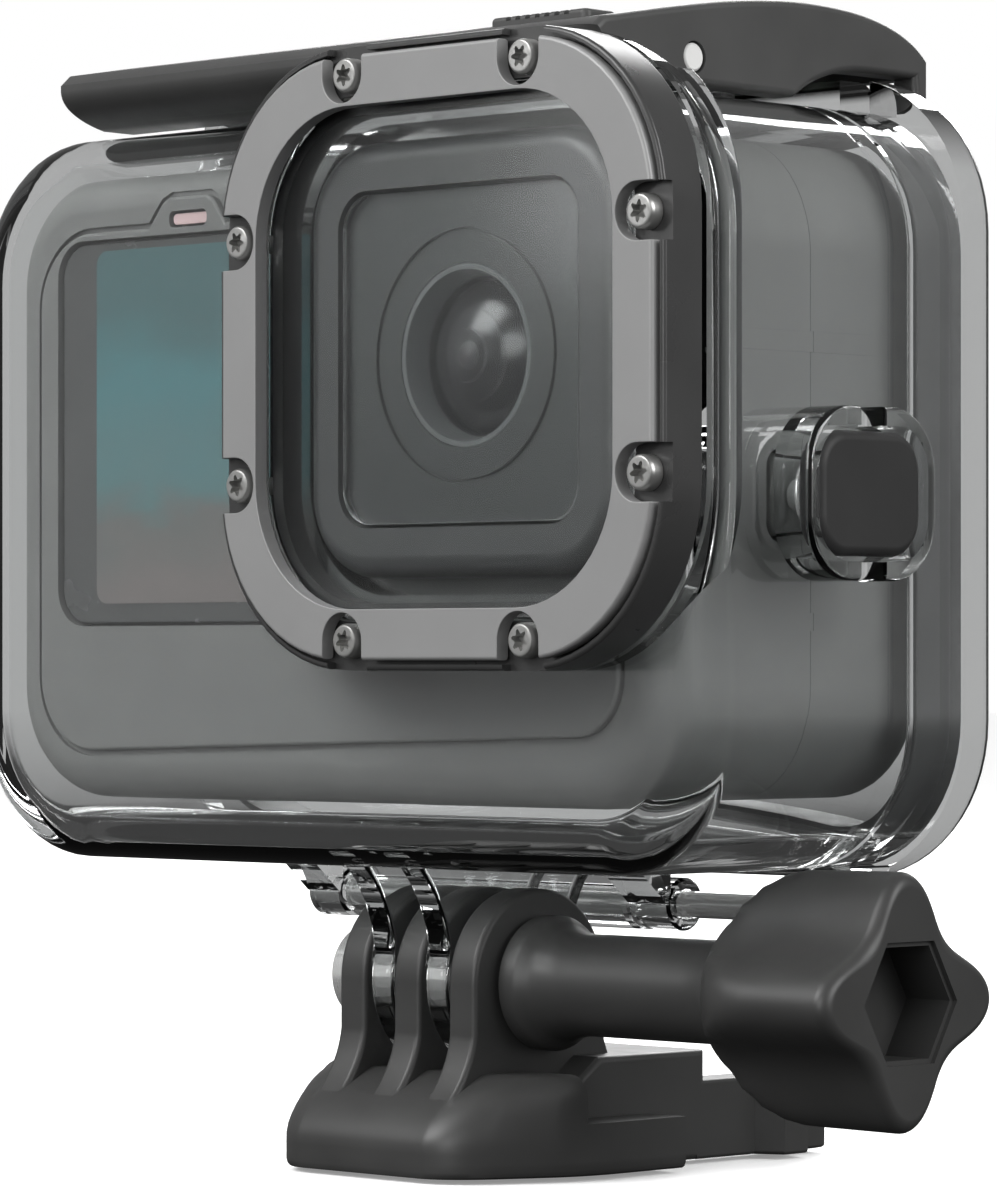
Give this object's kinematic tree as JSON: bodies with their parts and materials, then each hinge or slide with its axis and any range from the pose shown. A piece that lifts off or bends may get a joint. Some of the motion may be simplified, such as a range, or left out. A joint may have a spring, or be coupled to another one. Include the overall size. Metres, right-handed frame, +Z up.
{
  "type": "action camera",
  "caption": "Boxy action camera sealed in a clear waterproof housing with a framed lens port and a latch, standing on folding fingers, a thumbscrew and a quick-release buckle.",
  "frame": {"origin": "on the buckle's flat underside, straight below the tilt axis and midway between the buckle's outer fingers", "axes": "+Z up from the underside, +X to the right as seen from in front of the lens and along the thumbscrew towards its knob, the lens looks along -Y"},
  "size_m": [0.0879, 0.0513, 0.0886],
  "materials": {
    "clear_housing": "clear polycarbonate, polished",
    "optical_glass": "polished",
    "black_plastic": "fine satin",
    "rubber_black": "matt",
    "steel": "bright",
    "bezel_metal": "satin anodised",
    "camera_body": "fine matt",
    "screen": "glossy",
    "dark_screen": "glossy",
    "circuit_board": "satin",
    "battery_wrap": "satin",
    "heat_spreader": "satin",
    "light_window": "milky"
  },
  "bodies": {
    "buckle": {"buckle": "black_plastic", "captive_nut": "steel"},
    "thumbscrew": {"thumbscrew_knob": "black_plastic", "thumbscrew_bolt": "steel"},
    "housing": {"housing_shell": "clear_housing", "door_hinge_pin": "steel", "bezel_ring": "bezel_metal", "bezel_frame": "black_plastic", "bezel_screw_1": "steel", "bezel_screw_2": "steel", "bezel_screw_3": "steel", "bezel_screw_4": "steel", "bezel_screw_5": "steel", "bezel_screw_6": "steel", "bezel_screw_7": "steel", "bezel_screw_8": "steel", "port_glass": "optical_glass", "port_gasket": "rubber_black", "latch_arm_pin": "steel", "side_button_spring": "steel", "side_button_o_ring": "rubber_black", "shutter_button_spring": "steel", "shutter_button_o_ring": "rubber_black", "camera_front_cover": "camera_body", "camera_rear_cover": "camera_body", "front_screen": "screen", "rear_screen": "dark_screen", "status_light": "light_window", "battery_door": "camera_body", "lens_cover_frame": "camera_body", "lens_cover_glass": "optical_glass", "lens_mask": "camera_body", "lens_front_element": "optical_glass", "lens_barrel": "black_plastic", "image_sensor_board": "circuit_board", "heat_sink": "heat_spreader", "main_board": "circuit_board", "battery": "battery_wrap", "folding_finger_left": "black_plastic", "folding_finger_right": "black_plastic"},
    "rear_door": {"rear_door": "clear_housing", "door_seal": "rubber_black"},
    "latch_arm": {"latch_arm": "black_plastic"},
    "latch_clip": {"latch_clip": "black_plastic", "latch_pin": "steel"},
    "latch_lock": {"latch_lock": "black_plastic"},
    "side_button": {"side_button_cap": "rubber_black", "side_button_stem": "steel"},
    "shutter_button": {"shutter_button_cap": "rubber_black", "shutter_button_stem": "steel"},
    "camera_mode_button": {"camera_mode_button": "black_plastic"},
    "camera_shutter_button": {"camera_shutter_button": "black_plastic"}
  },
  "joints": [
    {"name": "thumbscrew_turn", "type": "hinge", "parent": "buckle", "child": "thumbscrew", "pos_m": [0, 0, 0.0144], "axis": [1, 0, 0], "continuous": true},
    {"name": "housing_tilt", "type": "hinge", "parent": "buckle", "child": "housing", "pos_m": [0, 0, 0.0144], "axis": [1, 0, 0], "range_deg": [-30, 60]},
    {"name": "rear_door_open", "type": "hinge", "parent": "housing", "child": "rear_door", "pos_m": [0, 0.0145, 0.02], "axis": [-1, 0, 0], "range_deg": [0, 100]},
    {"name": "latch_arm_lift", "type": "hinge", "parent": "housing", "child": "latch_arm", "pos_m": [0, 0.0037, 0.083], "axis": [-1, 0, 0], "range_deg": [0, 65]},
    {"name": "latch_clip_turn", "type": "hinge", "parent": "latch_arm", "child": "latch_clip", "pos_m": [0, -0.0057, 0.0835], "axis": [1, 0, 0], "range_deg": [0, 78]},
    {"name": "lock_slide", "type": "slide", "parent": "latch_clip", "child": "latch_lock", "axis": [-1, 0, 0], "range_m": [0, 0.003]},
    {"name": "side_button_press", "type": "slide", "parent": "housing", "child": "side_button", "axis": [-1, 0, 0], "range_m": [0, 0.0008], "stiffness_N_per_m": 800, "deforming": ["side_button_spring"]},
    {"name": "shutter_button_press", "type": "slide", "parent": "housing", "child": "shutter_button", "axis": [0, 0, -1], "range_m": [0, 0.0008], "stiffness_N_per_m": 800, "deforming": ["shutter_button_spring"]},
    {"name": "camera_mode_button_press", "type": "slide", "parent": "housing", "child": "camera_mode_button", "axis": [-1, 0, 0], "range_m": [0, 0.0008], "stiffness_N_per_m": 800},
    {"name": "camera_shutter_button_press", "type": "slide", "parent": "housing", "child": "camera_shutter_button", "axis": [0, 0, -1], "range_m": [0, 0.0008], "stiffness_N_per_m": 800}
  ],
  "couplings": [
    {"joint": "latch_clip_turn", "follows": "latch_arm_lift", "ratio": 1.2},
    {"joint": "camera_mode_button_press", "follows": "side_button_press", "ratio": 1},
    {"joint": "camera_shutter_button_press", "follows": "shutter_button_press", "ratio": 1}
  ]
}
